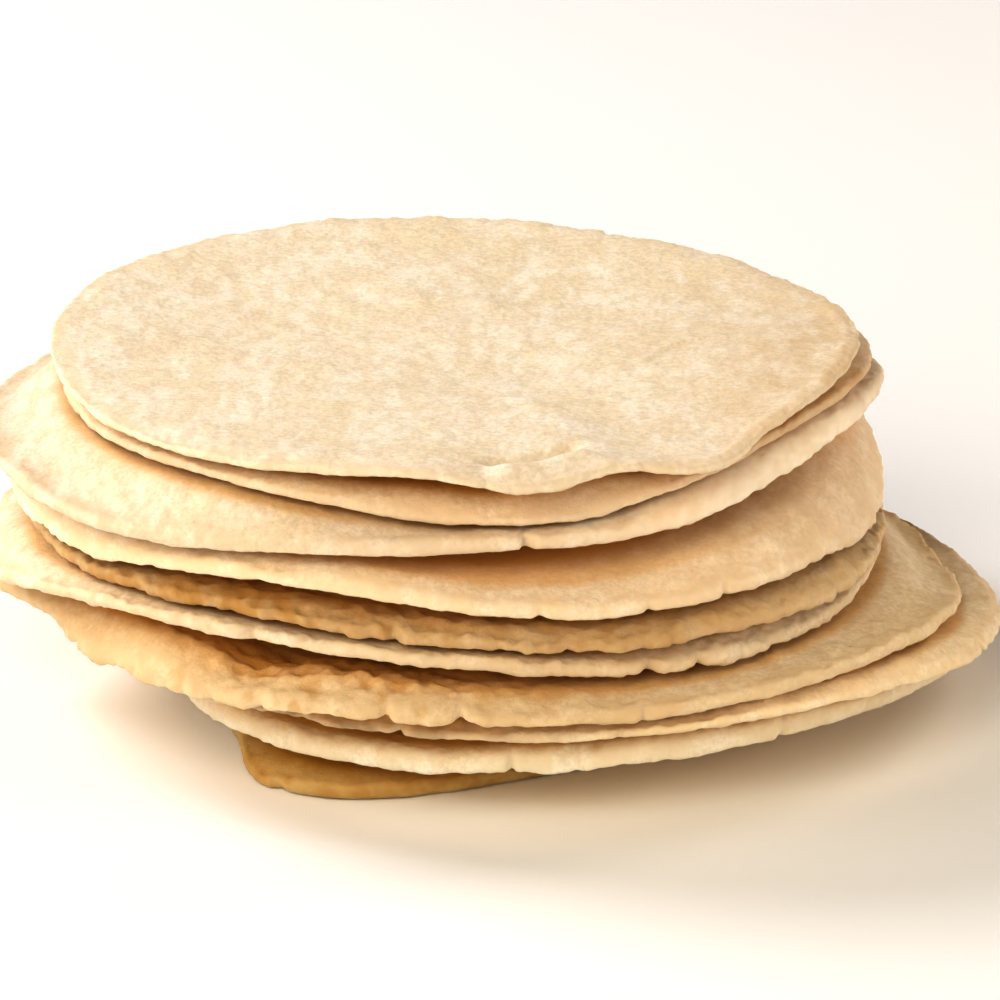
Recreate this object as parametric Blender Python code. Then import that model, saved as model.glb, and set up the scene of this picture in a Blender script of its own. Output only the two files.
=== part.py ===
"""Stack of ten corn tortillas.

Units are metres, +Z is up and the stack rests on z = 0.  +X is the stack's
right-hand side and -Y its front.  Every tortilla is one closed solid: a round
sheet of even thickness with a rounded rim.  The rim of each one rises and
sinks on its own, the middle is a little domed or dished, and each sheet is
draped over the one below it so that two sheets never pass into each other.
"""
import math

import bmesh
import bpy
import numpy as np

MM = 0.001

# ---- driving dimensions (millimetres, degrees) ------------------------------
CLEARANCE = 0.45       # least air between two neighbouring tortillas
RIM_INSET = 0.85       # where the flat faces end, in thicknesses from the edge
RIM_LOWER = (0.10, 0.22)   # lower shoulder of the rim: (inset, height) in thicknesses
RIM_UPPER = (0.16, 0.70)   # upper shoulder of the rim: (inset, height) in thicknesses
SEGMENTS = 48          # divisions around a tortilla
CORE_RINGS = (21.0, 41.0)  # radii of the rings shared by all the tortillas
OUTER_SHARE = 0.76     # place of the ring between the core and the rim
HUG_SHARE = 0.85       # how much of the stated lift the coarse solid takes
HUG_AIR = 0.60         # air left under the next sheet on top of the clearance
DROOP_POWER = 2.4      # how late the sheet bends away from its middle level
RIM_DROP = 0.4         # a rounded rim hangs this much lower than a sharp one
PLACE = (0.9, 0.0)     # shift that centres the whole stack on the axis

# One entry a tortilla, from the bottom of the stack to the top.
#   sheet    thickness
#   centre   where its middle lies (x, y)
#   radius   mean radius
#   oval     (amount, direction) of the two-sided stretch of its outline
#   tri      (amount, direction) of the three-sided stretch of its outline
#   lobes    local bulges of the outline: (direction, amount, half width)
#   mid      level of the underside in the middle
#   rim      mean level of the underside at the rim
#   sway     rise and fall of the rim: (waves around, amount, direction)
#   curls    local lifts of the rim: (direction, amount, half width)
#   ripple   soft waves of the sheet: (amount, wave length, direction, phase)
#   hug      share of the air under the next sheet that this one takes up, with
#            local changes: (base, ((direction, half width, change), ...))
#   shoulder distance from the edge over which that lift sets in, the same way
TORTILLAS = (
    dict(name="tortilla_10_bottom", sheet=3.4,
         centre=(0.0, -2.0), radius=48.0, oval=(0.6, 20), tri=(0.6, 70),
         lobes=((240, 18.0, 28.0), (234, 1.6, 7.0), (219, -1.6, 8.0)),
         mid=0.0, rim=0.0, sway=(), curls=(), ripple=(0.0, 60, 0, 0)),
    dict(name="tortilla_09", sheet=3.6,
         centre=(10.5, 0.0), radius=71.5, oval=(0.2, 55), tri=(0.5, 5),
         lobes=(),
         mid=4.0, rim=7.9,
         sway=((1, 0.9, 290), (2, 1.6, 127), (3, 0.7, 63), (5, 0.5, 31)),
         curls=(), ripple=(0.3, 62, 20, 40),
         hug=(0.85, ((240, 24, -0.75),)), shoulder=(4.0, ())),
    dict(name="tortilla_08", sheet=2.8,
         centre=(7.0, 2.0), radius=80.0, oval=(0.8, 5), tri=(0.5, 105),
         lobes=((238, -4.5, 20.0),),
         mid=11.0, rim=13.2,
         sway=((1, 2.2, 249), (2, 1.8, 107), (3, 0.6, 65), (4, 0.4, 38)),
         curls=(), ripple=(1.6, 66, 75, 10),
         hug=(0.75, ()), shoulder=(5.0, ())),
    dict(name="tortilla_07", sheet=3.4,
         centre=(-1.0, -3.0), radius=79.7, oval=(0.9, 158), tri=(0.9, 104),
         lobes=((183, 9.0, 8.0), (30, 4.0, 18.0)),
         mid=17.5, rim=18.2,
         sway=((1, 2.6, 240), (2, 1.7, 118), (3, 0.9, 80), (4, 0.6, 61),
               (5, 0.5, 45)),
         curls=(), ripple=(1.7, 72, 130, 90),
         hug=(0.6, ((205, 22, 0.3), (237, 7, -0.4), (258, 18, -0.15))),
         shoulder=(9.0, ((330, 50, 6.0),))),
    dict(name="tortilla_06", sheet=3.2,
         centre=(-9.5, -1.0), radius=77.0, oval=(0.4, 132), tri=(0.8, 60),
         lobes=((190, 4.0, 20.0),),
         mid=24.5, rim=28.1,
         sway=((1, 1.2, 200), (2, 1.7, 58), (3, 1.0, 7), (4, 0.4, 74),
               (5, 0.3, 67)),
         curls=((195, -2.5, 16.0),), ripple=(1.8, 64, 35, 200),
         hug=(0.75, ()), shoulder=(6.0, ())),
    dict(name="tortilla_05", sheet=3.0,
         centre=(-7.0, -3.0), radius=75.0, oval=(0.7, 110), tri=(0.6, 66),
         lobes=(),
         mid=31.5, rim=32.6,
         sway=((1, 1.4, 180), (2, 1.2, 53), (3, 0.6, 19), (5, 0.3, 27)),
         curls=(), ripple=(1.8, 70, 95, 320),
         hug=(0.6, ((250, 45, -0.35),)), shoulder=(7.0, ())),
    dict(name="tortilla_04", sheet=3.2,
         centre=(-8.0, -1.5), radius=76.0, oval=(0.3, 75), tri=(0.9, 63),
         lobes=(),
         mid=40.0, rim=38.7,
         sway=((1, 0.9, 100), (2, 1.9, 60), (3, 1.2, 26), (4, 0.3, 55),
               (5, 1.1, 31)),
         curls=((352, -1.3, 14.0),), ripple=(1.6, 68, 160, 150),
         hug=(0.6, ((228, 32, 0.35), (275, 26, -0.45))),
         shoulder=(6.0, ((330, 40, 14.0),))),
    dict(name="tortilla_03", sheet=3.0,
         centre=(-12.5, 2.5), radius=77.5, oval=(1.4, 35), tri=(0.6, 15),
         lobes=((2, 0.9, 12.0),),
         mid=47.0, rim=47.7,
         sway=((1, 2.7, 350), (2, 0.7, 173), (3, 0.7, 102), (4, 0.7, 80),
               (5, 0.8, 53)),
         curls=(), ripple=(1.1, 74, 60, 260),
         hug=(0.92, ()), shoulder=(12.0, ((315, 50, -7.0),))),
    dict(name="tortilla_02", sheet=2.4,
         centre=(-6.2, -0.3), radius=69.9, oval=(0.7, 34), tri=(1.0, 15),
         lobes=(),
         mid=52.8, rim=55.2,
         sway=((1, 0.8, 43), (2, 1.6, 174), (3, 1.2, 100), (4, 0.9, 62),
               (5, 0.5, 31)),
         curls=(), ripple=(1.0, 70, 110, 30),
         hug=(0.85, ((262, 28, -0.35),)), shoulder=(7.0, ())),
    dict(name="tortilla_01_top", sheet=2.7,
         centre=(-8.0, -3.0), radius=70.0, oval=(0.5, 110), tri=(0.3, 35),
         lobes=((278, 2.2, 8.0), (305, 4.0, 9.0)),
         mid=57.8, rim=60.7,
         sway=((1, 1.5, 95), (2, 0.8, 155), (3, 0.6, 120), (4, 0.8, 80),
               (5, 0.4, 50)),
         curls=((266, 0.6, 7.0), (278, -0.6, 8.0), (292, 1.8, 7.0)),
         ripple=(0.5, 66, 15, 300)),
)

CORN = (0.80, 0.62, 0.36, 1.0)


# ---- shape of one tortilla ---------------------------------------------------
def near(angle, toward, width):
    """1 in a direction, falling to 0 away from it."""
    off = (np.degrees(angle) - toward + 180.0) % 360.0 - 180.0
    return np.exp(-(off / width) ** 2)


def outline(t, angle):
    """Radius of the tortilla's edge about its own centre."""
    amount, toward = t["oval"]
    r = t["radius"] + amount * np.cos(2 * (angle - math.radians(toward)))
    amount, toward = t["tri"]
    r = r + amount * np.cos(3 * (angle - math.radians(toward)))
    for toward, amount, width in t["lobes"]:
        r = r + amount * near(angle, toward, width)
    return r


def rim_level(t, angle):
    """Level of the underside at the edge."""
    z = t["rim"] + 0.0 * angle
    for waves, amount, toward in t["sway"]:
        z = z + amount * np.cos(waves * (angle - math.radians(toward)))
    for toward, amount, width in t["curls"]:
        z = z + amount * near(angle, toward, width)
    return z


def polar(t, x, y):
    dx, dy = x - t["centre"][0], y - t["centre"][1]
    angle = np.arctan2(dy, dx)
    return np.hypot(dx, dy) / outline(t, angle), angle


def own_underside(t, x, y, most=9.0):
    """Underside of the sheet if it lay free; most limits how far out it counts."""
    share, angle = polar(t, x, y)
    share = np.minimum(share, most)
    bend = np.minimum(share, 1.08) ** DROOP_POWER
    drop = RIM_DROP if t["sway"] else 0.0
    z = t["mid"] + (rim_level(t, angle) - drop - t["mid"]) * bend
    amount, length, toward, phase = t["ripple"]
    a, p = math.radians(toward), math.radians(phase)
    along = (x * math.cos(a) + y * math.sin(a)) * 2 * math.pi / length
    across = (y * math.cos(a) - x * math.sin(a)) * 2 * math.pi / (1.35 * length)
    fade = np.clip(1.0 - share ** 2, 0.0, 1.0)
    return z + amount * fade * np.sin(along + p) * np.cos(across - p)


def soft_max(a, b, blend=0.8):
    """Greater of two levels with a rounded change-over."""
    h = np.clip(blend - np.abs(a - b), 0.0, blend) / blend
    return np.maximum(a, b) + h * h * blend * 0.25


def smooth(v):
    v = np.clip(v, 0.0, 1.0)
    return v * v * (3.0 - 2.0 * v)


def rolled_edge(v):
    """0 at the edge rising to 1 inwards, steepest at the edge."""
    return 1.0 - (1.0 - np.clip(v, 0.0, 1.0)) ** 2.2


def directed(spec, angle):
    """A value with local changes towards some directions."""
    base, changes = spec
    total = base + 0.0 * angle
    for toward, width, amount in changes:
        total = total + amount * near(angle, toward, width)
    return total


def rise(index, x, y, own):
    """Lift of a sheet towards the underside of the one that lies on it."""
    t = TORTILLAS[index]
    if "hug" not in t:
        return 0.0 * x
    over = TORTILLAS[index + 1]
    reach, _ = polar(over, x, y)
    gap = own_underside(over, x, y, 1.0) - own - t["sheet"] - CLEARANCE - HUG_AIR
    share, angle = polar(t, x, y)
    inset = (1.0 - share) * outline(t, angle)
    shoulder = rolled_edge(inset / directed(t["shoulder"], angle))
    beyond = 1.0 - smooth((reach - 1.0) * over["radius"] / 12.0)
    hug = np.clip(HUG_SHARE * directed(t["hug"], angle), 0.0, 0.95)
    return hug * np.maximum(gap, 0.0) * shoulder * beyond


def underside(index, x, y):
    """Underside of a tortilla as it lies in the stack."""
    t = TORTILLAS[index]
    own = own_underside(t, x, y)
    own = own + rise(index, x, y, own)
    if index == 0:
        return own
    return soft_max(own, ground(index - 1, x, y) + CLEARANCE)


def ground(index, x, y):
    """Upper envelope of a tortilla and all those beneath it."""
    share, _ = polar(TORTILLAS[index], x, y)
    top = underside(index, x, y) + TORTILLAS[index]["sheet"]
    if index == 0:
        below = 0.0 * x
    else:
        below = ground(index - 1, x, y)
    past = np.clip((share - 1.05) / 0.10, 0.0, 1.0)
    past = past * past * (3.0 - 2.0 * past)
    return np.maximum(top * (1.0 - past) + below * past, below)


# ---- solid --------------------------------------------------------------------
def ring_points(t, inset):
    """Points on the outline moved inwards by an inset."""
    a = np.arange(SEGMENTS) * 2 * math.pi / SEGMENTS
    r = outline(t, a) - inset
    return t["centre"][0] + r * np.cos(a), t["centre"][1] + r * np.sin(a)


def core_points(radius):
    a = np.arange(SEGMENTS) * 2 * math.pi / SEGMENTS
    return radius * np.cos(a), radius * np.sin(a)


def solid_mesh(index):
    """Vertices (mm) and faces of one tortilla."""
    t = TORTILLAS[index]
    sheet = t["sheet"]
    face_edge = ring_points(t, RIM_INSET * sheet)
    last_core = core_points(CORE_RINGS[-1])
    between = tuple(c + (e - c) * OUTER_SHARE for c, e in zip(last_core, face_edge))
    rings = [core_points(r) for r in CORE_RINGS] + [between, face_edge]

    verts, faces = [], []

    def add_ring(xy, level):
        start = len(verts)
        verts.extend(zip(xy[0].tolist(), xy[1].tolist(), level.tolist()))
        return list(range(start, start + SEGMENTS))

    def strip(inner, outer, flip):
        for i in range(SEGMENTS):
            j = (i + 1) % SEGMENTS
            quad = (inner[i], outer[i], outer[j], inner[j])
            faces.append(quad[::-1] if flip else quad)

    def fan(middle, ring, flip):
        for i in range(SEGMENTS):
            j = (i + 1) % SEGMENTS
            tri = (middle, ring[i], ring[j])
            faces.append(tri[::-1] if flip else tri)

    zero = np.zeros(1)
    mid_level = float(underside(index, zero, zero)[0])
    sides = []
    for lift, flip in ((0.0, True), (sheet, False)):
        verts.append((0.0, 0.0, mid_level + lift))
        middle = len(verts) - 1
        previous = None
        for xy in rings:
            ring = add_ring(xy, underside(index, *xy) + lift)
            if previous is None:
                fan(middle, ring, flip)
            else:
                strip(previous, ring, flip)
            previous = ring
        sides.append(previous)
    level = underside(index, *face_edge)
    shoulders = []
    for inset, height in (RIM_LOWER, RIM_UPPER):
        xy = ring_points(t, inset * sheet)
        shoulders.append(add_ring(xy, level + height * sheet))
    strip(sides[0], shoulders[0], True)
    strip(shoulders[0], shoulders[1], True)
    strip(shoulders[1], sides[1], True)
    return verts, faces


def add_solid(name, verts, faces, colour):
    mesh = bpy.data.meshes.new(name)
    scaled = [((x + PLACE[0]) * MM, (y + PLACE[1]) * MM, z * MM) for x, y, z in verts]
    mesh.from_pydata(scaled, [], faces)
    mesh.validate()
    bm = bmesh.new()
    bm.from_mesh(mesh)
    bmesh.ops.recalc_face_normals(bm, faces=bm.faces)
    bmesh.ops.triangulate(bm, faces=bm.faces, quad_method="BEAUTY")
    for face in bm.faces:
        face.smooth = True
    bm.to_mesh(mesh)
    bm.free()
    mesh.update()
    obj = bpy.data.objects.new(name, mesh)
    bpy.context.scene.collection.objects.link(obj)
    material = bpy.data.materials.new(name + "_corn")
    material.use_nodes = True
    shader = material.node_tree.nodes["Principled BSDF"]
    shader.inputs["Base Color"].default_value = colour
    shader.inputs["Roughness"].default_value = 0.75
    mesh.materials.append(material)
    return obj


def main():
    for obj in list(bpy.data.objects):
        bpy.data.objects.remove(obj, do_unlink=True)
    for index, t in enumerate(TORTILLAS):
        verts, faces = solid_mesh(index)
        tone = 1.0 - 0.012 * (len(TORTILLAS) - 1 - index)
        colour = (CORN[0] * tone, CORN[1] * tone, CORN[2] * tone, 1.0)
        add_solid(t["name"], verts, faces, colour)


main()
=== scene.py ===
"""Looks of the stack of ten corn tortillas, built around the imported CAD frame.

Every tortilla is one fine mesh that stands for its CAD node.  Its large shape
repeats the CAD solid's own functions; the thin crumbling rim, the pebbled
faces, the blisters and the small splits are added here as real relief.
"""
import math

import bpy
import numpy as np
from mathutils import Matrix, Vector


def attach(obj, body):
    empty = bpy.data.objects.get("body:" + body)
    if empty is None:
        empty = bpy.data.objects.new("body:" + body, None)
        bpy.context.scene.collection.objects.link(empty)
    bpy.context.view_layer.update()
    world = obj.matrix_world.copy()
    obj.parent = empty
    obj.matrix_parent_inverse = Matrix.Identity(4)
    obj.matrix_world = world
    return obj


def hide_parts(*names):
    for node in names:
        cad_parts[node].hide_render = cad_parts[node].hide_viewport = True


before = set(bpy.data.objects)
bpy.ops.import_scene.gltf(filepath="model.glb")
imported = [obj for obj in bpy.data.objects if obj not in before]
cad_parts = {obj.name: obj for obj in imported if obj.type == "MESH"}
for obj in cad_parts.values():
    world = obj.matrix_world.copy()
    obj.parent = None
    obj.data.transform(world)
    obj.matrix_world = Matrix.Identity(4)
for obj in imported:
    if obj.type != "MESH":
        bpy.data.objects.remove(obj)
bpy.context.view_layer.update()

MM = 0.001

# ---- large shape: the same rules and sizes as the CAD solids (mm, degrees) ---
CLEARANCE = 0.45
DROOP_POWER = 2.4
RIM_DROP = 0.4
PLACE = (0.9, 0.0)

TORTILLAS = (
    dict(name="tortilla_10_bottom", sheet=3.4,
         centre=(0.0, -2.0), radius=48.0, oval=(0.6, 20), tri=(0.6, 70),
         lobes=((240, 18.0, 28.0), (234, 1.6, 7.0), (219, -1.6, 8.0)),
         mid=0.0, rim=0.0, sway=(), curls=(), ripple=(0.0, 60, 0, 0)),
    dict(name="tortilla_09", sheet=3.6,
         centre=(10.5, 0.0), radius=71.5, oval=(0.2, 55), tri=(0.5, 5),
         lobes=(),
         mid=4.0, rim=7.9,
         sway=((1, 0.9, 290), (2, 1.6, 127), (3, 0.7, 63), (5, 0.5, 31)),
         curls=(), ripple=(0.3, 62, 20, 40),
         hug=(0.85, ((240, 24, -0.75),)), shoulder=(4.0, ())),
    dict(name="tortilla_08", sheet=2.8,
         centre=(7.0, 2.0), radius=80.0, oval=(0.8, 5), tri=(0.5, 105),
         lobes=((238, -4.5, 20.0),),
         mid=11.0, rim=13.2,
         sway=((1, 2.2, 249), (2, 1.8, 107), (3, 0.6, 65), (4, 0.4, 38)),
         curls=(), ripple=(1.6, 66, 75, 10),
         hug=(0.75, ()), shoulder=(5.0, ())),
    dict(name="tortilla_07", sheet=3.4,
         centre=(-1.0, -3.0), radius=79.7, oval=(0.9, 158), tri=(0.9, 104),
         lobes=((183, 9.0, 8.0), (30, 4.0, 18.0)),
         mid=17.5, rim=18.2,
         sway=((1, 2.6, 240), (2, 1.7, 118), (3, 0.9, 80), (4, 0.6, 61),
               (5, 0.5, 45)),
         curls=(), ripple=(1.7, 72, 130, 90),
         hug=(0.6, ((205, 22, 0.3), (237, 7, -0.4), (258, 18, -0.15))),
         shoulder=(9.0, ((330, 50, 6.0),))),
    dict(name="tortilla_06", sheet=3.2,
         centre=(-9.5, -1.0), radius=77.0, oval=(0.4, 132), tri=(0.8, 60),
         lobes=((190, 4.0, 20.0),),
         mid=24.5, rim=28.1,
         sway=((1, 1.2, 200), (2, 1.7, 58), (3, 1.0, 7), (4, 0.4, 74),
               (5, 0.3, 67)),
         curls=((195, -2.5, 16.0),), ripple=(1.8, 64, 35, 200),
         hug=(0.75, ()), shoulder=(6.0, ())),
    dict(name="tortilla_05", sheet=3.0,
         centre=(-7.0, -3.0), radius=75.0, oval=(0.7, 110), tri=(0.6, 66),
         lobes=(),
         mid=31.5, rim=32.6,
         sway=((1, 1.4, 180), (2, 1.2, 53), (3, 0.6, 19), (5, 0.3, 27)),
         curls=(), ripple=(1.8, 70, 95, 320),
         hug=(0.6, ((250, 45, -0.35),)), shoulder=(7.0, ())),
    dict(name="tortilla_04", sheet=3.2,
         centre=(-8.0, -1.5), radius=76.0, oval=(0.3, 75), tri=(0.9, 63),
         lobes=(),
         mid=40.0, rim=38.7,
         sway=((1, 0.9, 100), (2, 1.9, 60), (3, 1.2, 26), (4, 0.3, 55),
               (5, 1.1, 31)),
         curls=((352, -1.3, 14.0),), ripple=(1.6, 68, 160, 150),
         hug=(0.6, ((228, 32, 0.35), (275, 26, -0.45))), shoulder=(6.0, ((330, 40, 14.0),))),
    dict(name="tortilla_03", sheet=3.0,
         centre=(-12.5, 2.5), radius=77.5, oval=(1.4, 35), tri=(0.6, 15),
         lobes=((2, 0.9, 12.0),),
         mid=47.0, rim=47.7,
         sway=((1, 2.7, 350), (2, 0.7, 173), (3, 0.7, 102), (4, 0.7, 80),
               (5, 0.8, 53)),
         curls=(), ripple=(1.1, 74, 60, 260),
         hug=(0.92, ()), shoulder=(12.0, ((315, 50, -7.0),))),
    dict(name="tortilla_02", sheet=2.4,
         centre=(-6.2, -0.3), radius=69.9, oval=(0.7, 34), tri=(1.0, 15),
         lobes=(),
         mid=52.8, rim=55.2,
         sway=((1, 0.8, 43), (2, 1.6, 174), (3, 1.2, 100), (4, 0.9, 62),
               (5, 0.5, 31)),
         curls=(), ripple=(1.0, 70, 110, 30),
         hug=(0.85, ((262, 28, -0.35),)), shoulder=(7.0, ())),
    dict(name="tortilla_01_top", sheet=2.7,
         centre=(-8.0, -3.0), radius=70.0, oval=(0.5, 110), tri=(0.3, 35),
         lobes=((278, 2.2, 8.0), (305, 4.0, 9.0)),
         mid=57.8, rim=60.7,
         sway=((1, 1.5, 95), (2, 0.8, 155), (3, 0.6, 120), (4, 0.8, 80),
               (5, 0.4, 50)),
         curls=((266, 0.6, 7.0), (278, -0.6, 8.0), (292, 1.8, 7.0)),
         ripple=(0.5, 66, 15, 300)),
)

# ---- fine shape --------------------------------------------------------------
# One entry a tortilla, bottom to top.
#   edge     thickness of the rim as a share of the sheet
#   taper    width over which the sheet thins out towards the rim
#   fray     (coarse, middle, fine) wander of the outline
#   flutter  (coarse, fine) rise and fall of the rim's outermost millimetres
#   pebble   (swell, pebbles, grain) relief of the faces
#   crumb    extra roughness of the rim
#   blister  height of the blisters
#   splits   small splits in the rim: (direction, depth, width in mm)
#   bumps    local swellings: (direction, inset, height, length along the rim,
#            width across it)
#   rough    crumbled stretches: (direction, half width, strength)
FINE = (
    dict(edge=0.80, taper=5.0, fray=(0.5, 0.3, 0.2), flutter=(0.0, 0.0),
         pebble=(0.25, 0.12, 0.05), crumb=0.20, blister=0.4,
         splits=((236, 1.2, 1.4),), bumps=(), rough=()),
    dict(edge=1.12, taper=5.0, fray=(0.5, 0.28, 0.22), flutter=(0.25, 0.12),
         pebble=(0.25, 0.12, 0.05), crumb=0.20, blister=0.5,
         splits=((263, 1.2, 1.2), (301, 1.0, 1.6), (118, 1.5, 1.5)),
         bumps=(), rough=()),
    dict(edge=0.62, taper=6.0, fray=(0.6, 0.35, 0.28), flutter=(0.3, 0.16),
         pebble=(0.3, 0.12, 0.05), crumb=0.22, blister=0.6,
         splits=((252, 1.4, 1.3), (279, 0.9, 1.2), (340, 1.3, 1.4),
                 (70, 1.6, 1.6)),
         bumps=(), rough=()),
    dict(edge=0.80, taper=7.0, fray=(0.8, 0.35, 0.22), flutter=(0.5, 0.2),
         pebble=(0.2, 0.10, 0.06), crumb=0.24, blister=0.8,
         splits=((257, 1.8, 1.8), (266, 1.6, 1.5), (288, 1.0, 1.3)),
         bumps=(), rough=((250, 24, 1.0),)),
    dict(edge=0.74, taper=6.0, fray=(0.7, 0.5, 0.35), flutter=(0.55, 0.22),
         pebble=(0.3, 0.14, 0.06), crumb=0.28, blister=0.6,
         splits=((246, 1.2, 1.5), (296, 1.6, 2.0), (303, 1.2, 1.6)),
         bumps=(), rough=()),
    dict(edge=0.78, taper=6.0, fray=(0.7, 0.55, 0.42), flutter=(0.5, 0.25),
         pebble=(0.35, 0.16, 0.06), crumb=0.36, blister=0.7,
         splits=((262, 1.5, 1.8), (284, 1.2, 1.4)),
         bumps=(), rough=((255, 40, 0.5),)),
    dict(edge=0.85, taper=7.0, fray=(0.6, 0.35, 0.25), flutter=(0.35, 0.15),
         pebble=(0.1, 0.06, 0.04), crumb=0.20, blister=0.25,
         splits=((281, 1.3, 2.0), (295, 1.0, 1.6), (306, 0.9, 1.5)),
         bumps=(), rough=()),
    dict(edge=0.95, taper=6.0, fray=(0.5, 0.28, 0.22), flutter=(0.25, 0.12),
         pebble=(0.25, 0.11, 0.045), crumb=0.19, blister=0.4,
         splits=((282.9, 2.6, 1.9), (160, 1.2, 1.4)),
         bumps=(), rough=()),
    dict(edge=0.75, taper=5.0, fray=(0.5, 0.28, 0.2), flutter=(0.25, 0.1),
         pebble=(0.22, 0.10, 0.04), crumb=0.17, blister=0.3,
         splits=(), bumps=(), rough=()),
    dict(edge=0.60, taper=6.0, fray=(0.5, 0.3, 0.22), flutter=(0.3, 0.14),
         pebble=(0.28, 0.11, 0.045), crumb=0.17, blister=0.35,
         splits=((274.5, 0.9, 1.6), (296, 0.8, 1.4), (66, 1.2, 1.4)),
         bumps=(), rough=()),
)


# Painted light and shade, with some real toasting: browner patches stand for shade under overhangs and on sides
# turned from the lamps, one pale patch for a highlight on a rim. Columns: (direction, half width, inset of the
# middle, spread, strength)
PAINTED_LIGHT_AND_TOAST_PATCHES = {
    # painted shade over the whole bottom sheet, which lies under the overhang
    "tortilla_10_bottom": ((0, 900, 0, 60, 0.9),),
    # painted shadow: a dark band along the far rim, and the front-left rim under the sheet above
    "tortilla_08": ((42, 28, 0, 8, 1.0), (240, 24, 0, 5, 0.6)),
    "tortilla_09": ((315, 28, 0, 20, 0.35),),
    # painted shade on the front rim and the left lobe under the sheet above, and a painted shadow along the far
    # rim
    "tortilla_07": ((272, 22, 4, 14, 0.4), (200, 30, 5, 12, 0.4), (32, 22, 0, 5, 0.6)),
    # painted shade on the front-right rim
    "tortilla_06": ((284, 14, 0, 7, 0.4),),
    # browner dough, partly painted shade where the rim lies back under the sheet above
    "tortilla_05": ((240, 45, 0, 12, 0.95), (288, 30, 0, 10, 0.6)),
    # painted shadow on the right-hand side, where the stack above shades it
    "tortilla_04": ((328, 36, 17, 18, 0.95),),
    # painted highlight: a pale band on the right-hand rim
    "tortilla_03": ((325, 30, 0, 8, 0.9),),
    # painted shade on the right-hand rim under the top sheet
    "tortilla_02": ((335, 28, 0, 7, 0.8),),
    # painted shade on the right end, which faces away from the lamps
    "tortilla_01_top": ((352, 40, 0, 24, 0.5),),
}


# ---- noise -------------------------------------------------------------------
def lattice(ix, iy, iz, seed):
    h = (ix.astype(np.uint64) * np.uint64(374761393)
         + iy.astype(np.uint64) * np.uint64(668265263)
         + iz.astype(np.uint64) * np.uint64(1440662683)
         + np.uint64(seed * 974634777 + 12345))
    mask = np.uint64(0xFFFFFFFF)
    h &= mask
    h = ((h ^ (h >> np.uint64(15))) * np.uint64(2246822519)) & mask
    h = ((h ^ (h >> np.uint64(13))) * np.uint64(3266489917)) & mask
    return h ^ (h >> np.uint64(16))


def noise(points, size, seed):
    """Smooth gradient noise, about -1 to 1, with features of a given size."""
    p = points / size
    cell = np.floor(p).astype(np.int64)
    f = p - cell
    u = f * f * f * (f * (f * 6.0 - 15.0) + 10.0)
    total = np.zeros(len(p))
    for dx in (0, 1):
        wx = u[:, 0] if dx else 1.0 - u[:, 0]
        for dy in (0, 1):
            wy = u[:, 1] if dy else 1.0 - u[:, 1]
            for dz in (0, 1):
                wz = u[:, 2] if dz else 1.0 - u[:, 2]
                h = lattice(cell[:, 0] + dx, cell[:, 1] + dy, cell[:, 2] + dz, seed)
                gx = (h & np.uint64(1023)).astype(float) / 511.5 - 1.0
                gy = ((h >> np.uint64(10)) & np.uint64(1023)).astype(float) / 511.5 - 1.0
                gz = ((h >> np.uint64(20)) & np.uint64(1023)).astype(float) / 511.5 - 1.0
                total += wx * wy * wz * (
                    gx * (f[:, 0] - dx) + gy * (f[:, 1] - dy) + gz * (f[:, 2] - dz))
    return total * 1.5


def smooth(v):
    v = np.clip(v, 0.0, 1.0)
    return v * v * (3.0 - 2.0 * v)


# ---- large shape functions ---------------------------------------------------
def near(angle, toward, width):
    off = (np.degrees(angle) - toward + 180.0) % 360.0 - 180.0
    return np.exp(-(off / width) ** 2)


def outline(t, angle):
    amount, toward = t["oval"]
    r = t["radius"] + amount * np.cos(2 * (angle - math.radians(toward)))
    amount, toward = t["tri"]
    r = r + amount * np.cos(3 * (angle - math.radians(toward)))
    for toward, amount, width in t["lobes"]:
        r = r + amount * near(angle, toward, width)
    return r


def rim_level(t, angle):
    z = t["rim"] + 0.0 * angle
    for waves, amount, toward in t["sway"]:
        z = z + amount * np.cos(waves * (angle - math.radians(toward)))
    for toward, amount, width in t["curls"]:
        z = z + amount * near(angle, toward, width)
    return z


def own_underside(t, x, y, share, angle):
    bend = np.minimum(share, 1.08) ** DROOP_POWER
    drop = RIM_DROP if t["sway"] else 0.0
    z = t["mid"] + (rim_level(t, angle) - drop - t["mid"]) * bend
    amount, length, toward, phase = t["ripple"]
    a, p = math.radians(toward), math.radians(phase)
    along = (x * math.cos(a) + y * math.sin(a)) * 2 * math.pi / length
    across = (y * math.cos(a) - x * math.sin(a)) * 2 * math.pi / (1.35 * length)
    fade = np.clip(1.0 - share ** 2, 0.0, 1.0)
    return z + amount * fade * np.sin(along + p) * np.cos(across - p)


def soft_max(a, b, blend=0.8):
    h = np.clip(blend - np.abs(a - b), 0.0, blend) / blend
    return np.maximum(a, b) + h * h * blend * 0.25


def rolled_edge(v):
    """0 at the rim rising to 1 inwards, steepest at the rim."""
    return 1.0 - (1.0 - np.clip(v, 0.0, 1.0)) ** 2.2


def directed(spec, angle):
    """A level with local changes towards some directions."""
    base, changes = spec
    total = base + 0.0 * angle
    for toward, width, amount in changes:
        total = total + amount * near(angle, toward, width)
    return total


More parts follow.
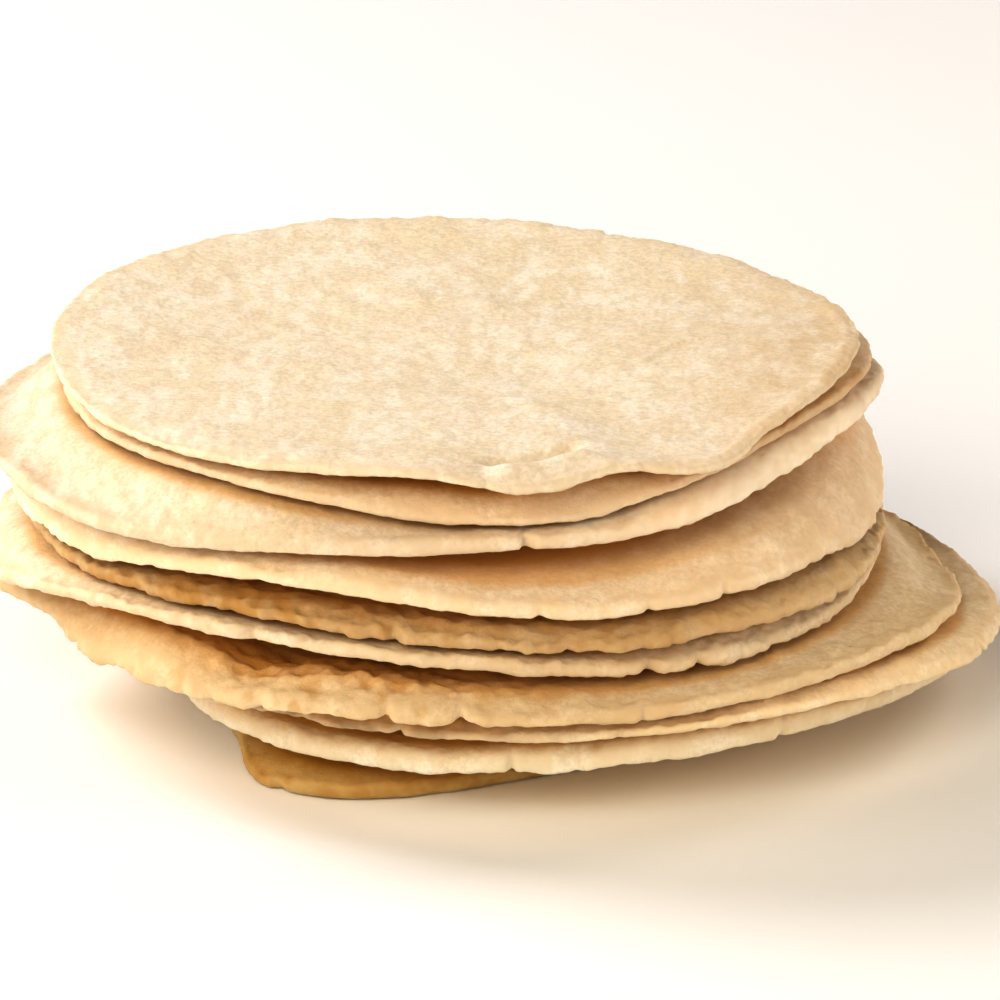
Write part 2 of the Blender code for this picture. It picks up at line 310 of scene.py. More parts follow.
def rise(index, x, y, own, share, angle):
    """Lift of a sheet towards the underside of the one that lies on it."""
    t = TORTILLAS[index]
    if "hug" not in t:
        return 0.0 * x
    over = TORTILLAS[index + 1]
    dx, dy = x - over["centre"][0], y - over["centre"][1]
    turn = np.arctan2(dy, dx)
    reach, edge = np.hypot(dx, dy), outline(over, turn)
    level = own_underside(over, x, y, np.minimum(reach / edge, 1.0), turn)
    gap = np.maximum(level - own - t["sheet"] - CLEARANCE - 0.25, 0.0)
    inset = (1.0 - share) * outline(t, angle)
    shoulder = rolled_edge(inset / directed(t["shoulder"], angle))
    beyond = 1.0 - smooth((reach - edge) / 12.0)
    hug = np.clip(directed(t["hug"], angle), 0.0, 0.95)
    return hug * gap * shoulder * beyond


def underside(index, x, y):
    """Underside of a tortilla as it lies in the stack."""
    below = np.zeros_like(x)
    for k in range(index + 1):
        t = TORTILLAS[k]
        dx, dy = x - t["centre"][0], y - t["centre"][1]
        angle = np.arctan2(dy, dx)
        share = np.hypot(dx, dy) / outline(t, angle)
        under = own_underside(t, x, y, share, angle)
        under = under + rise(k, x, y, under, share, angle)
        if k:
            under = soft_max(under, below + CLEARANCE)
        if k == index:
            return under
        past = smooth((share - 1.05) / 0.10)
        below = np.maximum((under + t["sheet"]) * (1.0 - past) + below * past, below)


# ---- fine shape functions ----------------------------------------------------
def frayed(index, angle):
    """How far the torn outline stands off the large outline (mm)."""
    t, f = TORTILLAS[index], FINE[index]
    r = t["radius"]
    ring = np.stack([r * np.cos(angle), r * np.sin(angle),
                     np.full_like(angle, 7.0 * index)], axis=1)
    seed = 100 + 10 * index
    rough = roughness(index, angle)
    out = (f["fray"][0] * noise(ring, 15.0, seed)
           + f["fray"][1] * (1 + 1.2 * rough) * noise(ring, 5.5, seed + 1)
           + f["fray"][2] * (1 + 1.8 * rough) * noise(ring, 2.2, seed + 2))
    nick = noise(ring, 4.0, seed + 3)
    out -= (0.9 + 1.2 * rough) * np.clip(nick - 0.42, 0.0, 1.0)
    for toward, depth, width in f["splits"]:
        half = math.degrees(width / r) * 0.6
        out -= depth * near(angle, toward, half)
    return out


def roughness(index, angle):
    total = np.zeros_like(angle)
    for toward, width, strength in FINE[index]["rough"]:
        total = np.maximum(total, strength * near(angle, toward, width))
    return total


def lip(angle, inset):
    """The top tortilla's front lip, which bends down and puffs up a little."""
    off = (np.degrees(angle) - 283.0 + 180.0) % 360.0 - 180.0
    span = smooth((9.5 - np.abs(off)) / 4.0)
    slant = (off + 9.5) / 19.0                 # the fold runs off to the right
    fold = 7.5 + 3.0 * slant
    bend = smooth((fold - inset) / fold)
    puff = np.exp(-((inset - 0.42 * fold) / 2.1) ** 2)
    groove = np.exp(-((inset - fold - 0.6) / 1.5) ** 2)
    return span * (-0.35 * bend + 1.45 * puff - 1.9 * groove)


def large_lift(index, angle, inset):
    """Local bends of the whole sheet that only the fine mesh has (mm)."""
    z = np.zeros_like(angle)
    if index == 9:
        z += lip(angle, inset)
        # thin rim that turns up along the right-hand side
        side = smooth((48.0 - np.abs((np.degrees(angle) - 335.0 + 180) % 360 - 180)) / 14.0)
        z += side * (0.55 * np.exp(-((inset - 0.8) / 1.6) ** 2)
                     - 0.35 * np.exp(-((inset - 6.5) / 3.5) ** 2))
    return z


def crease(x, y, start, end, width, height):
    """A faint raised line in a face, strongest at its middle."""
    ax, ay = start
    bx, by = end
    length = math.hypot(bx - ax, by - ay)
    ux, uy = (bx - ax) / length, (by - ay) / length
    along = (x - ax) * ux + (y - ay) * uy
    off = (y - ay) * ux - (x - ax) * uy + 0.9 * np.sin(along * 0.33)
    ends = smooth(along / 6.0) * smooth((length - along) / 6.0)
    return height * ends * (np.exp(-(off / width) ** 2)
                            - 0.7 * np.exp(-((off + 1.6 * width) / (1.3 * width)) ** 2))


def furrows(index, p):
    """Deep between the lumps of a crumbled stretch, 0 on top of them."""
    return np.abs(noise(p, 4.6, 505 + 20 * index))


def face_relief(index, p, inset, angle):
    """Relief of a face along its normal (mm)."""
    f = FINE[index]
    seed = 500 + 20 * index
    swell, pebble, grain = f["pebble"]
    h = swell * noise(p, 13.0, seed) + pebble * noise(p, 3.4, seed + 1) \
        + 0.7 * pebble * noise(p, 1.9, seed + 2) + grain * noise(p, 1.0, seed + 3)
    dome = np.clip(noise(p, 8.5, seed + 4) - 0.28, 0.0, 1.0)
    h += f["blister"] * 1.6 * dome
    rough = roughness(index, angle)
    if rough.max() > 0.0:
        near_rim = smooth((24.0 - inset) / 14.0) * (0.3 + 0.7 * smooth(inset / 3.0))
        h += rough * near_rim * (1.7 * (0.3 - furrows(index, p))
                                 + 0.7 * noise(p, 2.4, seed + 6)
                                 + 0.25 * noise(p, 1.3, seed + 7))
    if index == 9:
        h += 0.45 * noise(p, 30.0, seed + 8)
        h += crease(p[:, 0], p[:, 1], (20.0, -18.0), (38.0, 1.5), 0.8, 0.30)
        h += crease(p[:, 0], p[:, 1], (-52.0, 10.0), (-30.0, 22.0), 0.9, 0.16)
    return h


def rim_relief(index, p, inset, angle):
    """Crumbs on the rim, and small wrinkles that run across it."""
    f, t = FINE[index], TORTILLAS[index]
    seed = 900 + 20 * index
    r = t["radius"]
    ring = np.stack([r * np.cos(angle), r * np.sin(angle),
                     np.full_like(angle, 2.0 + 4.0 * index) + 0.12 * inset], axis=1)
    near_rim = smooth((3.2 - inset) / 3.2)
    pits = 0.25 - np.abs(noise(p, 2.4, seed)) - 0.7 * np.abs(noise(p, 1.3, seed + 1))
    crumbs = 1.0 * noise(p, 1.9, seed + 5) + 1.6 * pits
    wrinkles = 0.8 * noise(ring, 5.5, seed + 2) + 0.9 * noise(ring, 2.3, seed + 3)
    patches = 0.25 + 1.8 * np.clip(noise(ring, 16.0, seed + 4), 0.0, 1.0)
    return f["crumb"] * (near_rim * crumbs + smooth((8.0 - inset) / 6.0) * wrinkles * patches)


def flutter(index, angle, inset):
    f, t = FINE[index], TORTILLAS[index]
    r = t["radius"]
    ring = np.stack([r * np.cos(angle), r * np.sin(angle),
                     np.full_like(angle, 3.0 + 5.0 * index)], axis=1)
    seed = 1300 + 10 * index
    near_rim = smooth((9.0 - inset) / 9.0)
    return near_rim * (f["flutter"][0] * noise(ring, 16.0, seed)
                       + f["flutter"][1] * noise(ring, 6.0, seed + 1))


def thickness(index, angle, inset):
    """Sheet thickness, thinning towards the rim."""
    t, f = TORTILLAS[index], FINE[index]
    r = t["radius"]
    ring = np.stack([r * np.cos(angle), r * np.sin(angle),
                     np.full_like(angle, 1.0 + 3.0 * index)], axis=1)
    wander = 1.0 + 0.28 * noise(ring, 12.0, 1700 + index) \
        + 0.16 * noise(ring, 4.0, 1750 + index)
    edge = f["edge"] * wander
    if index == 9:
        off = (np.degrees(angle) - 284.5 + 180.0) % 360.0 - 180.0
        edge = edge + 0.22 * smooth((9.0 - np.abs(off)) / 3.5)
    grow = rolled_edge(inset / f["taper"])
    return t["sheet"] * np.clip(edge + (1.0 - edge) * grow, 0.25, 1.15)


# ---- the mesh of one tortilla ------------------------------------------------
SEG = {9: 1152}
RIM_ROWS = 8


def ring_plan(radius, segments, spacings):
    """Insets from the rim and divisions of the rings of one face.

    spacings is a list of (up to this inset, spacing between rings)."""
    plan, inset, n = [], 0.0, segments
    for limit, gap in spacings:
        while inset < limit and inset < radius - 2.0 * gap:
            inset += gap
            left = radius - inset
            if n % 2 == 0 and n >= 48 and 2 * math.pi * left / n < 0.62 * gap:
                n //= 2
            plan.append((inset, n))
    return plan


def build_mesh(index):
    t = TORTILLAS[index]
    radius, sheet = t["radius"], t["sheet"]
    segments = SEG.get(index, 960)
    if index == 9:
        top_plan = ring_plan(radius, segments, ((7.0, 0.45), (80.0, 0.62)))
    elif index == 0:
        segments = 768
        top_plan = ring_plan(radius, segments, ((4.0, 0.5), (24.0, 1.0), (80.0, 3.0)))
    else:
        top_plan = ring_plan(radius, segments, ((8.0, 0.5), (24.0, 0.8), (80.0, 3.0)))
    low_plan = ring_plan(radius, segments, ((3.0, 0.6), (10.0, 1.2), (80.0, 3.5)))

    # every ring as arrays of angle, inset and a position across the rim (phi)
    rows = []          # (angles, inset, kind, phi)

    def angles(n):
        return np.arange(n) * 2 * math.pi / n

    for inset, n in reversed(low_plan):
        rows.append((angles(n), inset, -1, -math.pi / 2))
    for k in range(RIM_ROWS + 1):
        phi = -math.pi / 2 + math.pi * k / RIM_ROWS
        rows.append((angles(segments), 0.0, 0, phi))
    for inset, n in top_plan:
        rows.append((angles(n), inset, 1, math.pi / 2))

    a = np.concatenate([r[0] for r in rows])
    inset = np.concatenate([np.full(len(r[0]), r[1]) for r in rows])
    phi = np.concatenate([np.full(len(r[0]), r[3]) for r in rows])
    counts = [len(r[0]) for r in rows]
    # one vertex in the middle of each face
    a = np.concatenate([[0.0], a, [0.0]])
    inset = np.concatenate([[radius], inset, [radius]])
    phi = np.concatenate([[-math.pi / 2], phi, [math.pi / 2]])

    base = outline(t, a)
    fray = frayed(index, a)
    hold = smooth((7.0 - inset) / 7.0)
    share = 1.0 - inset / radius
    thick = thickness(index, a, inset)
    cap = 0.5 * thickness(index, a, np.zeros_like(a))      # half height of the rim
    reach = 0.35 + cap * 0.75                                # how far it rounds out
    bulge = np.clip(np.cos(phi), 0.0, 1.0) ** 0.75
    r = (base - reach) * share + fray * hold + reach * bulge * (inset == 0)
    x = t["centre"][0] + r * np.cos(a)
    y = t["centre"][1] + r * np.sin(a)

    # middle of the sheet, then the faces above and below it
    under = underside(index, x, y)
    lift = large_lift(index, a, inset) + flutter(index, a, inset)
    middle = under + lift + 0.5 * sheet - 0.10 * (sheet - thick)
    if index == 0:
        middle = under + 0.5 * thick
    z = middle + 0.5 * thick * np.sign(phi) * np.abs(np.sin(phi)) ** 0.95

    # relief along the outward direction of the surface
    p = np.stack([x, y, z], axis=1)
    relief = face_relief(index, p, inset, a) + rim_relief(index, p, inset, a)
    up = np.sin(phi)
    out = np.cos(phi)
    gain = np.where(up < -0.2, 0.55, 1.0)
    if index == 0:
        gain = np.where(up < -0.9, 0.0, gain)
    relief = relief * gain
    x = x + relief * out * np.cos(a) * 0.8
    y = y + relief * out * np.sin(a) * 0.8
    z = z + relief * up

    # faces
    starts, at = [], 1
    for n in counts:
        starts.append(at)
        at += n
    quads, tris = [], []

    def strip(s0, n0, s1, n1):
        """Faces between ring 0 (lower, earlier) and ring 1."""
        if n0 == n1:
            i = np.arange(n0)
            j = (i + 1) % n0
            quads.append(np.stack([s0 + i, s0 + j, s1 + j, s1 + i], axis=1))
        elif n1 * 2 == n0:
            i = np.arange(n1)
            j = (i + 1) % n1
            e0, e1, e2 = s0 + 2 * i, s0 + 2 * i + 1, s0 + (2 * i + 2) % n0
            tris.append(np.stack([e0, e1, s1 + i], axis=1))
            tris.append(np.stack([e1, s1 + j, s1 + i], axis=1))
            tris.append(np.stack([e1, e2, s1 + j], axis=1))
        elif n0 * 2 == n1:
            i = np.arange(n0)
            j = (i + 1) % n0
            e0, e1, e2 = s1 + 2 * i, s1 + 2 * i + 1, s1 + (2 * i + 2) % n1
            tris.append(np.stack([s0 + i, e1, e0], axis=1))
            tris.append(np.stack([s0 + i, s0 + j, e1], axis=1))
            tris.append(np.stack([s0 + j, e2, e1], axis=1))

    for k in range(len(counts) - 1):
        strip(starts[k], counts[k], starts[k + 1], counts[k + 1])
    i = np.arange(counts[0])
    j = (i + 1) % counts[0]
    tris.append(np.stack([np.zeros_like(i), starts[0] + j, starts[0] + i], axis=1))
    last = at
    i = np.arange(counts[-1])
    j = (i + 1) % counts[-1]
    tris.append(np.stack([starts[-1] + i, starts[-1] + j, np.full_like(i, last)], axis=1))
    return (np.stack([x, y, z], axis=1), np.concatenate(quads), np.concatenate(tris),
            inset, a, up)


# ---- keeping neighbours apart ------------------------------------------------
CELL = 0.5
HALF = 110.0
GRID = int(2 * HALF / CELL)


class Ground:
    """Highest level reached so far, on a fine grid."""

    def __init__(self):
        self.level = np.full((GRID, GRID), -1.0)

    def cells(self, x, y):
        i = np.clip(((x + HALF) / CELL).astype(int), 1, GRID - 2)
        j = np.clip(((y + HALF) / CELL).astype(int), 1, GRID - 2)
        return i, j

    def at(self, x, y):
        i, j = self.cells(x, y)
        best = self.level[i, j]
        for di, dj in ((-1, 0), (1, 0), (0, -1), (0, 1)):
            best = np.maximum(best, self.level[i + di, j + dj])
        return best

    def add(self, verts, quads, tris):
        x, y, z = verts[:, 0], verts[:, 1], verts[:, 2]
        for faces in (quads, tris):
            px, py, pz = x[faces], y[faces], z[faces]
            n = faces.shape[1]
            size = np.maximum(px.max(1) - px.min(1), py.max(1) - py.min(1))
            for limit, steps in ((0.9, 2), (3.0, 6), (1e9, 14)):
                take = (size <= limit) & (size > (0.0 if steps == 2 else 0.9 if steps == 6 else 3.0))
                if not take.any():
                    continue
                qx, qy, qz = px[take], py[take], pz[take]
                for u in np.linspace(0.0, 1.0, steps + 1):
                    for v in np.linspace(0.0, 1.0, steps + 1):
                        if n == 4:
                            w = ((1 - u) * (1 - v), u * (1 - v), u * v, (1 - u) * v)
                        else:
                            w = ((1 - u), u * (1 - v), u * v)
                        cx = sum(w[k] * qx[:, k] for k in range(n))
                        cy = sum(w[k] * qy[:, k] for k in range(n))
                        cz = sum(w[k] * qz[:, k] for k in range(n))
                        i, j = self.cells(cx, cy)
                        np.maximum.at(self.level, (i, j), cz)


def painted_gap_shade_mask(index, verts, inset, angle, up):
    """Painted shade: 0 in the open, 1 well in between two sheets and on the undersides."""
    x, y = verts[:, 0], verts[:, 1]
    above = np.zeros(len(x))
    for k in range(index + 1, len(TORTILLAS)):
        t = TORTILLAS[k]
        dx, dy = x - t["centre"][0], y - t["centre"][1]
        inside = outline(t, np.arctan2(dy, dx)) - np.hypot(dx, dy)
        step = 12.0 + 6.0 * (k - index - 1)
        shade_share = 1.0
        if index == 6:                       # the big open bow gets less painted shade
            shade_share = 1.0 - 0.85 * near(angle, 335, 32)
        above = np.maximum(above, shade_share * smooth((inside - 1.0) / step))
        if k == index + 1 or (index, k) == (1, 3):
            # painted shade: a soft dark band just outside the edge of the sheet that lies on this one
            away = np.maximum(-inside, 0.0)
            crease_shade = 0.24 * np.exp(-(away / 3.5) ** 2) + 0.30 * np.exp(-(away / 1.3) ** 2)
            above = np.maximum(above, shade_share * crease_shade)
        # painted shade: a darker band on the ninth sheet just outside the seventh's edge, at the front left
        if (index, k) == (1, 3):
            above = np.maximum(above, 0.95 * near(angle, 238, 26)
                               * np.exp(-(np.maximum(-inside, 0.0) / 2.6) ** 2))
    # the rims, which the lamps reach, take less painted shade
    above *= 0.3 + 0.7 * smooth(inset / 6.0)
    # undersides take painted shade from just inside the rim
    below = smooth((inset + 0.5) / 6.0)
    face = 0.5 + 0.5 * np.clip(up * 1.6, -1.0, 1.0)
    return above * face + below * (1.0 - face)


def painted_light_and_toast_mask(index, verts, inset, angle):
    """0 to 1 where the colour changes: mostly painted shade, one painted highlight, some real toasting."""
    # painted shade in the furrows between the lumps of crumbled stretches
    total = roughness(index, angle) * smooth((22.0 - inset) / 12.0) \
        * smooth((furrows(index, verts) - 0.22) / 0.25) * 0.75
    for toward, width, middle, spread, strength in PAINTED_LIGHT_AND_TOAST_PATCHES.get(TORTILLAS[index]["name"], ()):
        total = np.maximum(total, strength * near(angle, toward, width)
                           * np.exp(-((inset - middle) / spread) ** 2))
    return total


def add_piece(index, verts, quads, tris, inset, angle, up, material):
    t = TORTILLAS[index]
    name = t["name"] + "_fine"
    mesh = bpy.data.meshes.new(name)
    co = verts.copy()
    co[:, 0] += PLACE[0]
    co[:, 1] += PLACE[1]
    co *= MM
    nq, nt = len(quads), len(tris)
    mesh.vertices.add(len(co))
    mesh.vertices.foreach_set("co", co.astype(np.float32).ravel())
    mesh.loops.add(4 * nq + 3 * nt)
    mesh.loops.foreach_set("vertex_index", np.concatenate(
        [quads.ravel(), tris.ravel()]).astype(np.int32))
    mesh.polygons.add(nq + nt)
    mesh.polygons.foreach_set("loop_start", np.concatenate(
        [np.arange(nq) * 4, 4 * nq + np.arange(nt) * 3]).astype(np.int32))
    mesh.update(calc_edges=True)
    mesh.validate()
    mesh.polygons.foreach_set("use_smooth", np.ones(nq + nt, bool))
    # where a point lies on the sheet: 1 at the rim falling to 0 inwards
    rim = mesh.attributes.new("rim", "FLOAT", "POINT")
    rim.data.foreach_set("value", np.exp(-inset / 2.2).astype(np.float32))
    # painted shade between the sheets and on the undersides, kept per point
    painted_shade = mesh.attributes.new("painted_shade", "FLOAT", "POINT")
    painted_shade.data.foreach_set("value", painted_gap_shade_mask(index, verts, inset, angle, up).astype(np.float32))
    # painted light and shade, with some real toasting, kept per point
    painted_light_and_toast = mesh.attributes.new("painted_light_and_toast", "FLOAT", "POINT")
    painted_light_and_toast.data.foreach_set("value", painted_light_and_toast_mask(index, verts, inset, angle).astype(np.float32))
    mesh.materials.append(material)
    obj = bpy.data.objects.new(name, mesh)
    bpy.context.scene.collection.objects.link(obj)
    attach(obj, "root")
    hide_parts(t["name"])
    return obj


# ---- materials ---------------------------------------------------------------
def corn_material(index, tone):
    """Baked corn dough: pale masa with warmer mottling, grain and a few specks, with painted shade and painted
    light mixed into its colour.
    """
    material = bpy.data.materials.new("corn_dough_%02d" % (10 - index))
    material.use_nodes = True
    tree = material.node_tree
    nodes, links = tree.nodes, tree.links
    nodes.clear()
    out = nodes.new("ShaderNodeOutputMaterial")
    shader = nodes.new("ShaderNodeBsdfPrincipled")
    links.new(shader.outputs["BSDF"], out.inputs["Surface"])
    coord = nodes.new("ShaderNodeTexCoord")
    shift = nodes.new("ShaderNodeMapping")
    shift.inputs["Location"].default_value = (0.31 * index, 0.17 * index, 0.23 * index)
    links.new(coord.outputs["Object"], shift.inputs["Vector"])
    # the press rolls the dough a little longer one way
    rolled = nodes.new("ShaderNodeMapping")
    rolled.inputs["Scale"].default_value = (1.0, 0.5, 1.0)
    links.new(shift.outputs["Vector"], rolled.inputs["Vector"])

    def tex(size_mm, detail=2.0, rough=0.5, distort=0.0, even=False):
        n = nodes.new("ShaderNodeTexNoise")
        n.inputs["Scale"].default_value = 1000.0 / size_mm
        n.inputs["Detail"].default_value = detail
        n.inputs["Roughness"].default_value = rough
        n.inputs["Distortion"].default_value = distort
        links.new((shift if even else rolled).outputs["Vector"], n.inputs["Vector"])
        return n.outputs["Fac"]

    def span(value, low, high, to_low=0.0, to_high=1.0):
        n = nodes.new("ShaderNodeMapRange")
        n.interpolation_type = "SMOOTHSTEP"
        n.inputs["From Min"].default_value = low
        n.inputs["From Max"].default_value = high
        n.inputs["To Min"].default_value = to_low
        n.inputs["To Max"].default_value = to_high
        links.new(value, n.inputs["Value"])
        return n.outputs["Result"]

    def mix(factor, a, b):
        n = nodes.new("ShaderNodeMix")
        n.data_type = "RGBA"
        links.new(factor, n.inputs["Factor"])
        for socket, value in ((n.inputs["A"], a), (n.inputs["B"], b)):
            if isinstance(value, tuple):
                socket.default_value = value + (1.0,)
            else:
                links.new(value, socket)
        return n.outputs["Result"]

    cream, base, tan, gold, rim_dry_and_shade, gap_shade_tone, painted_light_and_toast = tone
    cloud = span(tex(20.0, 2.0, 0.55), 0.34, 0.66)
    mottle = span(tex(7.5, 2.0, 0.6, 0.4), 0.36, 0.64)
    fleck = span(tex(2.8, 2.0, 0.6), 0.36, 0.66)
    colour = mix(cloud, base, gold)
    colour = mix(mottle, colour, cream)
    pale = span(fleck, 0.0, 1.0, 0.0, 0.6)
    colour = mix(pale, colour, tan)
    # fine grain of the ground corn
    grain = span(tex(1.0, 3.0, 0.7, even=True), 0.30, 0.70, 0.90, 1.08)
    speckled = nodes.new("ShaderNodeVectorMath")
    speckled.operation = "SCALE"
    links.new(colour, speckled.inputs[0])
    links.new(grain, speckled.inputs["Scale"])
    colour = speckled.outputs["Vector"]
    # the thin rim takes a darker, warmer tone: partly its own drier dough, partly painted shade on rims that
    # face the lamps
    at_rim = nodes.new("ShaderNodeAttribute")
    at_rim.attribute_name = "rim"
    patch = span(tex(6.0, 1.0, even=True), 0.35, 0.65, 0.25, 0.95)
    rim_dry_and_shade_mask = nodes.new("ShaderNodeMath")
    rim_dry_and_shade_mask.operation = "MULTIPLY"
    links.new(span(at_rim.outputs["Fac"], 0.15, 0.95, 0.0, 1.0), rim_dry_and_shade_mask.inputs[0])
    links.new(patch, rim_dry_and_shade_mask.inputs[1])
    edge = rim_dry_and_shade_mask.outputs["Value"]
    colour = mix(edge, colour, rim_dry_and_shade)
    # painted light and shade, with some real toasting: browner where shade falls, paler where a rim catches
    # light
    light_and_toast_attr = nodes.new("ShaderNodeAttribute")
    light_and_toast_attr.attribute_name = "painted_light_and_toast"
    uneven = nodes.new("ShaderNodeMath")
    uneven.operation = "MULTIPLY"
    links.new(light_and_toast_attr.outputs["Fac"], uneven.inputs[0])
    links.new(span(tex(5.0, 2.0, 0.6), 0.36, 0.62, 0.55, 1.1), uneven.inputs[1])
    uneven.use_clamp = True
    colour = mix(uneven.outputs["Value"], colour, painted_light_and_toast)
    # painted shade: between two sheets and on the undersides the colour turns a deep golden brown
    painted_shade_attr = nodes.new("ShaderNodeAttribute")
    painted_shade_attr.attribute_name = "painted_shade"
    colour = mix(span(painted_shade_attr.outputs["Fac"], 0.05, 0.90, 0.0, 0.92), colour, gap_shade_tone)
    # sparse dark specks of hull
    speck = nodes.new("ShaderNodeTexVoronoi")
    speck.inputs["Scale"].default_value = 1000.0 / 9.0
    links.new(shift.outputs["Vector"], speck.inputs["Vector"])
    rare = nodes.new("ShaderNodeSeparateColor")
    links.new(speck.outputs["Color"], rare.inputs["Color"])
    dot = span(speck.outputs["Distance"], 0.018, 0.045, 0.6, 0.0)
    keep = span(rare.outputs["Red"], 0.80, 0.82)
    both = nodes.new("ShaderNodeMath")
    both.operation = "MULTIPLY"
    links.new(dot, both.inputs[0])
    links.new(keep, both.inputs[1])
    colour = mix(both.outputs["Value"], colour, (0.34, 0.22, 0.11))
    links.new(colour, shader.inputs["Base Color"])

    # roughness and fine relief
    links.new(span(tex(3.0, 2.0), 0.3, 0.7, 0.62, 0.82), shader.inputs["Roughness"])
    fine = nodes.new("ShaderNodeBump")
    fine.inputs["Strength"].default_value = 0.8
    fine.inputs["Distance"].default_value = 0.00022
    links.new(tex(1.1, 3.0, 0.65, even=True), fine.inputs["Height"])
    coarse = nodes.new("ShaderNodeBump")
    coarse.inputs["Strength"].default_value = 0.5
    coarse.inputs["Distance"].default_value = 0.0004
    links.new(tex(3.2, 2.0, 0.55), coarse.inputs["Height"])
    links.new(fine.outputs["Normal"], coarse.inputs["Normal"])
    links.new(coarse.outputs["Normal"], shader.inputs["Normal"])
    shader.inputs["Specular IOR Level"].default_value = 0.22
    shader.inputs["Subsurface Weight"].default_value = 0.22
    shader.inputs["Subsurface Radius"].default_value = (1.0, 0.55, 0.22)
    shader.inputs["Subsurface Scale"].default_value = 0.0022
    return material


CREAM = (0.865, 0.76, 0.615)
BASE = (0.83, 0.70, 0.54)
TAN = (0.75, 0.61, 0.43)
GOLD = (0.80, 0.665, 0.465)
# rim tone: partly the drier dough of the rim, partly painted shade on rims that face the lamps
RIM_DRY_AND_SHADE = (0.77, 0.62, 0.43)
# painted shade: the deep golden brown of the gaps between sheets and of the undersides
PAINTED_GAP_SHADE = (0.72, 0.41, 0.10)
# brown of the other patches: mostly painted shade, with some real toasting
PAINTED_SHADE_AND_TOAST_TONE = (0.61, 0.40, 0.19)
# how each tortilla's colour differs, bottom to top: partly the dough's own tone, partly painted light and shade,
# such as the darkened bottom sheet and the brightened sheet above it
SHEET_TONE_AND_PAINTED_LIGHT = ((0.80, 0.73, 0.47), (1.09, 1.18, 1.25), (1.09, 1.07, 0.99),
         (0.965, 0.93, 0.83), (0.98, 0.985, 0.97), (0.84, 0.78, 0.65),
         (1.10, 1.09, 1.07), (0.965, 0.96, 0.97), (0.96, 0.94, 0.93),
         (1.00, 1.04, 1.09))


# tones of the patches above: a far rim painted dark as shadow, a browner sheet partly in painted shade, a
# right-hand side in painted shadow, and a pale painted highlight on a rim
PAINTED_LIGHT_AND_TOAST_TONES = {"tortilla_08": (0.20, 0.10, 0.035), "tortilla_05": (0.60, 0.37, 0.15),
         "tortilla_04": (0.60, 0.45, 0.29), "tortilla_03": (1.02, 0.88, 0.70)}


def tones(index):
    painted_light_and_toast = PAINTED_LIGHT_AND_TOAST_TONES.get(TORTILLAS[index]["name"], PAINTED_SHADE_AND_TOAST_TONE)
    return tuple(tuple(min(c * b, 0.95) for c, b in zip(colour, SHEET_TONE_AND_PAINTED_LIGHT[index]))
                 for colour in (CREAM, BASE, TAN, GOLD, RIM_DRY_AND_SHADE, PAINTED_GAP_SHADE, painted_light_and_toast))


def build_stack():
    ground = Ground()
    total = 0
    for index in range(len(TORTILLAS)):
        verts, quads, tris, inset, angle, up = build_mesh(index)
        if index:
            floor_level = ground.at(verts[:, 0], verts[:, 1]) + 0.12
            inner = 0.5 + 0.5 * up                       # 0 under, 1 on top
            verts[:, 2] = np.maximum(verts[:, 2], floor_level + inner * 0.5)
        else:
            verts[:, 2] = np.maximum(verts[:, 2], 0.0)
        if index < len(TORTILLAS) - 1:
            ground.add(verts, quads, tris)
        material = corn_material(index, tones(index))
        add_piece(index, verts, quads, tris, inset, angle, up, material)
        total += 2 * len(quads) + len(tris)
        print("piece", TORTILLAS[index]["name"], "triangles", 2 * len(quads) + len(tris))
    print("triangles in all", total)


build_stack()


# ---- floor, light, camera ----------------------------------------------------
def flat_material(name, low, high, rough):
    material = bpy.data.materials.new(name)
    material.use_nodes = True
    tree = material.node_tree
    shader = tree.nodes["Principled BSDF"]
    n = tree.nodes.new("ShaderNodeTexNoise")
    n.inputs["Scale"].default_value = 3.0
    ramp = tree.nodes.new("ShaderNodeMix")
    ramp.data_type = "RGBA"
    ramp.inputs["A"].default_value = low
    ramp.inputs["B"].default_value = high
    tree.links.new(n.outputs["Fac"], ramp.inputs["Factor"])
    tree.links.new(ramp.outputs["Result"], shader.inputs["Base Color"])
    shader.inputs["Roughness"].default_value = rough
    shader.inputs["Specular IOR Level"].default_value = 0.1
    return material


floor_mesh = bpy.data.meshes.new("floor")
floor_mesh.from_pydata([(-6, -6, 0), (6, -6, 0), (6, 6, 0), (-6, 6, 0)], [], [(0, 1, 2, 3)])
floor = bpy.data.objects.new("floor", floor_mesh)
floor.location = (0.0, 0.0, -0.0002)
bpy.context.scene.collection.objects.link(floor)
floor.data.materials.append(flat_material("floor_pale", (0.935, 0.945, 0.955, 1), (0.955, 0.965, 0.975, 1), 0.9))


def area_light(name, place, target, size, power, colour):
    data = bpy.data.lights.new(name, "AREA")
    data.shape = "DISK"
    data.size = size
    data.energy = power
    data.color = colour
    obj = bpy.data.objects.new(name, data)
    obj.location = place
    toward = Vector(target) - Vector(place)
    obj.rotation_euler = toward.to_track_quat("-Z", "Y").to_euler()
    bpy.context.scene.collection.objects.link(obj)
    return obj


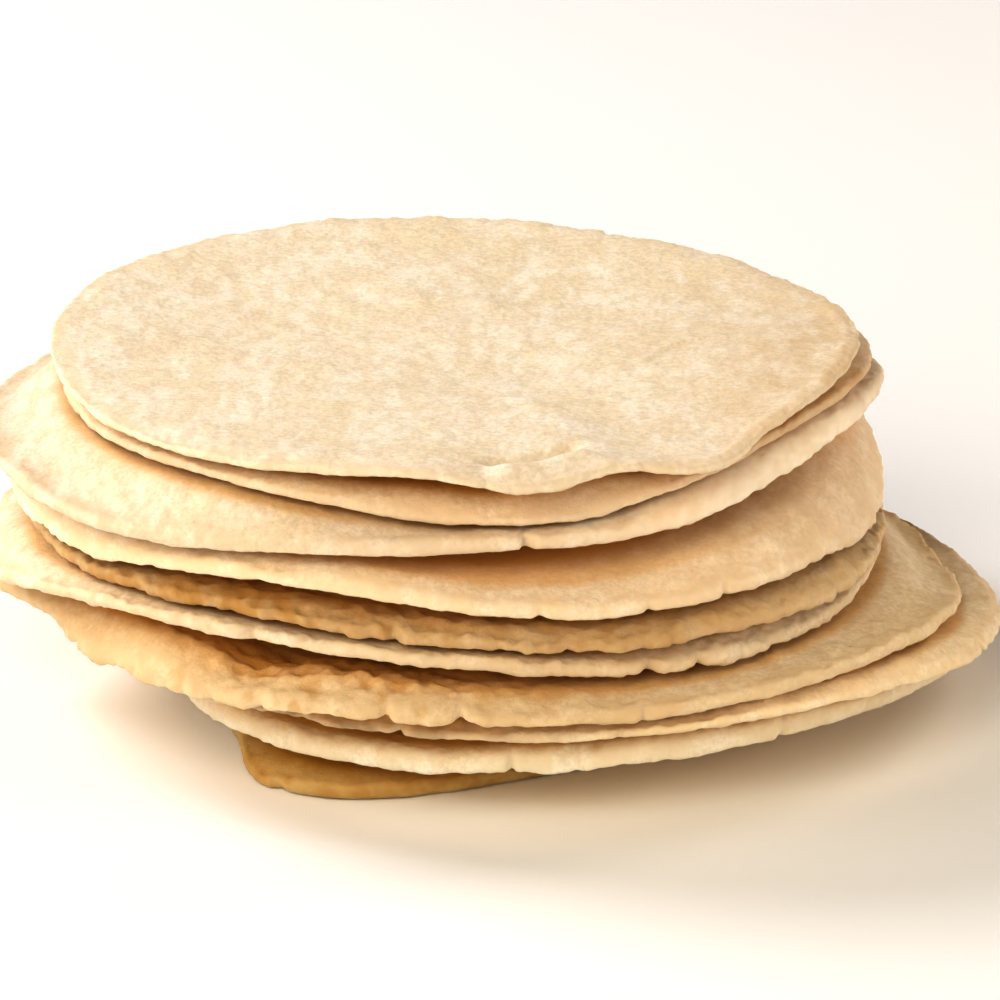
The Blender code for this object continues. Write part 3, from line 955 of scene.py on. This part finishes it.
def from_sky(name, azimuth, elevation, distance, size, power, colour):
    """A round lamp; azimuth 0 is the front (-Y), 90 the right (+X)."""
    az, el = math.radians(azimuth), math.radians(elevation)
    place = (distance * math.cos(el) * math.sin(az),
             -distance * math.cos(el) * math.cos(az),
             distance * math.sin(el) + 0.03)
    return area_light(name, place, (0.0, 0.0, 0.03), size, power, colour)


from_sky("key", -120, 38, 1.6, 0.7, 18.0, (1.0, 0.98, 1.0))
from_sky("left", -76, 24, 0.6, 0.3, 0.8, (1.0, 0.98, 0.96))
from_sky("front", -24, 34, 1.6, 1.2, 18.0, (1.0, 0.90, 0.72))
from_sky("right", 76, 16, 1.6, 0.7, 8.5, (1.0, 0.90, 0.80))
from_sky("right_back", 122, 35, 1.6, 0.7, 6.0, (1.0, 0.84, 0.70))

# a pale surround, brighter towards the horizon
world = bpy.data.worlds.new("pale")
world.use_nodes = True
tree = world.node_tree
back = tree.nodes["Background"]
direction = tree.nodes.new("ShaderNodeTexCoord")
parts = tree.nodes.new("ShaderNodeSeparateXYZ")
tree.links.new(direction.outputs["Generated"], parts.inputs["Vector"])
height = tree.nodes.new("ShaderNodeMapRange")
height.inputs["From Min"].default_value = 0.0
height.inputs["From Max"].default_value = 0.75
height.inputs["To Min"].default_value = 0.56
height.inputs["To Max"].default_value = 0.06
tree.links.new(parts.outputs["Z"], height.inputs["Value"])
tree.links.new(height.outputs["Result"], back.inputs["Strength"])
back.inputs["Color"].default_value = (1.0, 0.965, 0.91, 1.0)
bpy.context.scene.world = world
bpy.context.scene.view_settings.gamma = 0.78
bpy.context.scene.view_settings.view_transform = "Standard"

camera_data = bpy.data.cameras.new("camera")
camera_data.lens = 183.06
camera_data.sensor_width = 36.0
camera_data.clip_start = 0.05
camera_data.clip_end = 20.0
camera = bpy.data.objects.new("camera", camera_data)
camera.location = (0.0009, -0.8409, 0.3257)
camera.rotation_euler = (math.radians(70.71), 0.0, 0.0)
bpy.context.scene.collection.objects.link(camera)
bpy.context.scene.camera = camera
